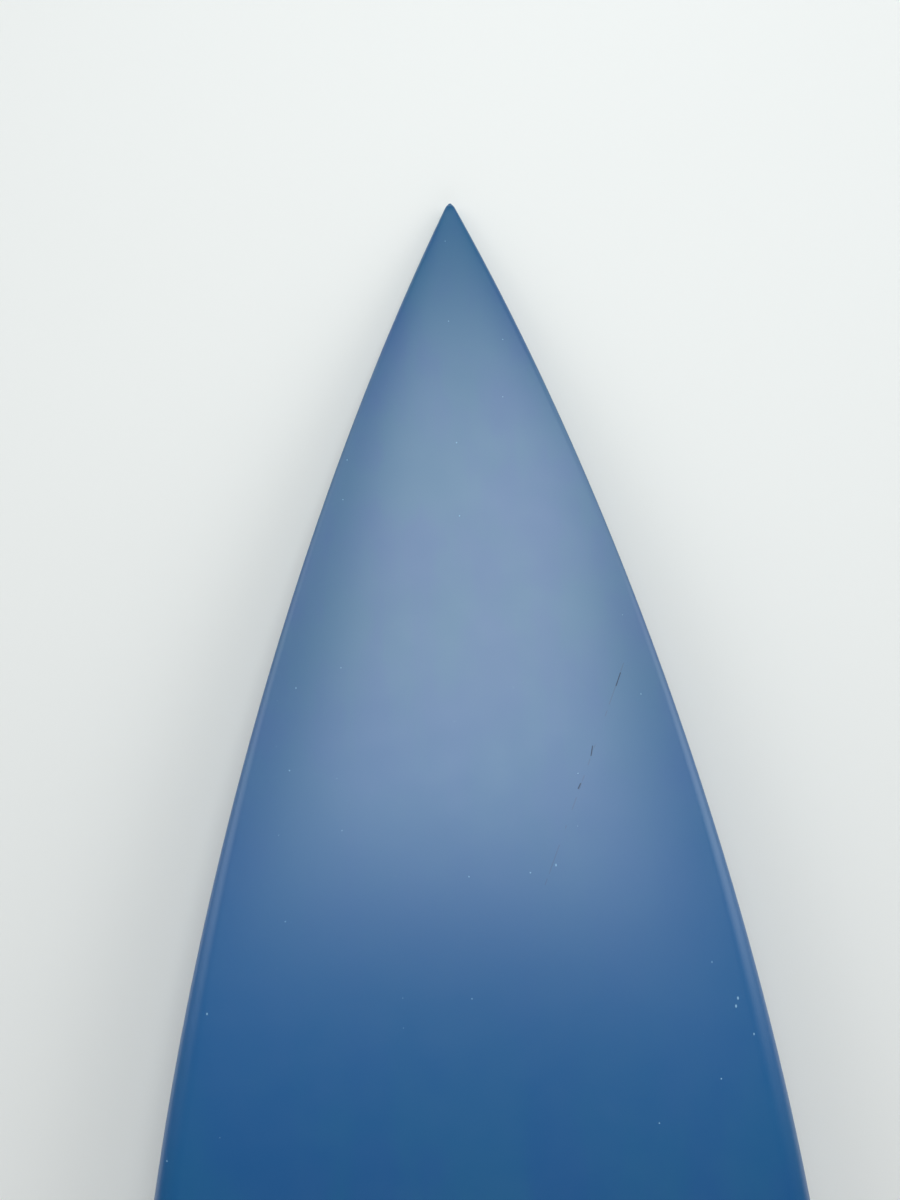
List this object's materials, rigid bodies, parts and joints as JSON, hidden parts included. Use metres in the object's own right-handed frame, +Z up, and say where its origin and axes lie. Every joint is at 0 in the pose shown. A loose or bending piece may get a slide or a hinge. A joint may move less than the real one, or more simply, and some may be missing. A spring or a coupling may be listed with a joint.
{
  "type": "shortboard surfboard",
  "caption": "Pointed-nose shortboard with a squash tail, satin blue laminate over a foam core with a wooden stringer, removable screw-clamped fins and a leash cup, lying deck down.",
  "frame": {"origin": "on the floor, under the middle of the whole board's bounding box", "axes": "+Y towards the nose, +Z up, out of the board's bottom, with the deck facing the floor, and +X to the left of a rider standing on the deck"},
  "size_m": [0.4738, 1.8812, 0.1659],
  "materials": {
    "board_blue": "satin sanded resin over blue",
    "foam": "shaped foam",
    "stringer_wood": "bare basswood",
    "plug_plastic": "moulded, sanded flush",
    "fin_composite": "satin moulded composite",
    "steel": "stainless"
  },
  "bodies": {
    "board": {"deck_laminate": "board_blue", "bottom_laminate": "board_blue", "foam_core_right": "foam", "foam_core_left": "foam", "stringer": "stringer_wood", "right_front_plug": "plug_plastic", "right_rear_plug": "plug_plastic", "left_front_plug": "plug_plastic", "left_rear_plug": "plug_plastic", "centre_front_plug": "plug_plastic", "centre_rear_plug": "plug_plastic", "leash_cup": "plug_plastic", "leash_pin": "steel"},
    "right_fin": {"right_fin": "fin_composite"},
    "left_fin": {"left_fin": "fin_composite"},
    "centre_fin": {"centre_fin": "fin_composite"},
    "right_front_screw": {"right_front_screw": "steel"},
    "right_rear_screw": {"right_rear_screw": "steel"},
    "left_front_screw": {"left_front_screw": "steel"},
    "left_rear_screw": {"left_rear_screw": "steel"},
    "centre_front_screw": {"centre_front_screw": "steel"},
    "centre_rear_screw": {"centre_rear_screw": "steel"}
  },
  "joints": [
    {"name": "right_fin_pull", "type": "slide", "parent": "board", "child": "right_fin", "axis": [-0.1132, -0.1131, 0.9871], "range_m": [0, 0.06]},
    {"name": "left_fin_pull", "type": "slide", "parent": "board", "child": "left_fin", "axis": [0.1132, -0.1131, 0.9871], "range_m": [0, 0.06]},
    {"name": "centre_fin_pull", "type": "slide", "parent": "board", "child": "centre_fin", "axis": [0, -0.1413, 0.99], "range_m": [0, 0.06]},
    {"name": "right_front_screw_turn", "type": "hinge", "parent": "board", "child": "right_front_screw", "pos_m": [-0.13334, -0.57775, 0.05626], "axis": [0.3979, -0.133, 0.9077], "range_deg": [0, 720]},
    {"name": "right_rear_screw_turn", "type": "hinge", "parent": "board", "child": "right_rear_screw", "pos_m": [-0.13677, -0.63721, 0.04906], "axis": [0.3979, -0.133, 0.9077], "range_deg": [0, 720]},
    {"name": "left_front_screw_turn", "type": "hinge", "parent": "board", "child": "left_front_screw", "pos_m": [0.13334, -0.57775, 0.05626], "axis": [-0.3979, -0.133, 0.9077], "range_deg": [0, 720]},
    {"name": "left_rear_screw_turn", "type": "hinge", "parent": "board", "child": "left_rear_screw", "pos_m": [0.13677, -0.63721, 0.04906], "axis": [-0.3979, -0.133, 0.9077], "range_deg": [0, 720]},
    {"name": "centre_front_screw_turn", "type": "hinge", "parent": "board", "child": "centre_front_screw", "pos_m": [-0.0043, -0.76649, 0.03105], "axis": [-0.5, -0.1224, 0.8573], "range_deg": [0, 720]},
    {"name": "centre_rear_screw_turn", "type": "hinge", "parent": "board", "child": "centre_rear_screw", "pos_m": [-0.0043, -0.82589, 0.02257], "axis": [-0.5, -0.1224, 0.8573], "range_deg": [0, 720]}
  ]
}
